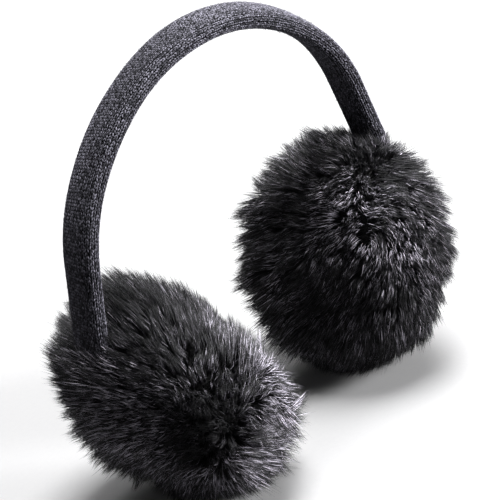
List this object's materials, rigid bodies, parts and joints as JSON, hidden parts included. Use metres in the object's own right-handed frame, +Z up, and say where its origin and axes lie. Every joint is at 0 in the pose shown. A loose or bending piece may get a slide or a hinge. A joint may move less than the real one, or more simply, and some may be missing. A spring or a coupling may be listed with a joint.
{
  "type": "fur earmuffs",
  "caption": "Pair of round, long-pile fur ear pads joined by an arched, padded knit headband; stands upright on the pressed fur under its pads.",
  "frame": {"origin": "on the ground midway between the pressed undersides of the two muffs", "axes": "+Z up, X from ear to ear, -Y the front of the wearer"},
  "size_m": [0.2206, 0.1168, 0.2119],
  "materials": {
    "knit": "fine charcoal stocking-stitch knit, matt with a soft sheen",
    "fur": "black long-pile faux fur, glossy along each hair"
  },
  "bodies": {
    "root": {"headband": "knit", "muff_left": "fur", "muff_right": "fur"}
  },
  "joints": []
}
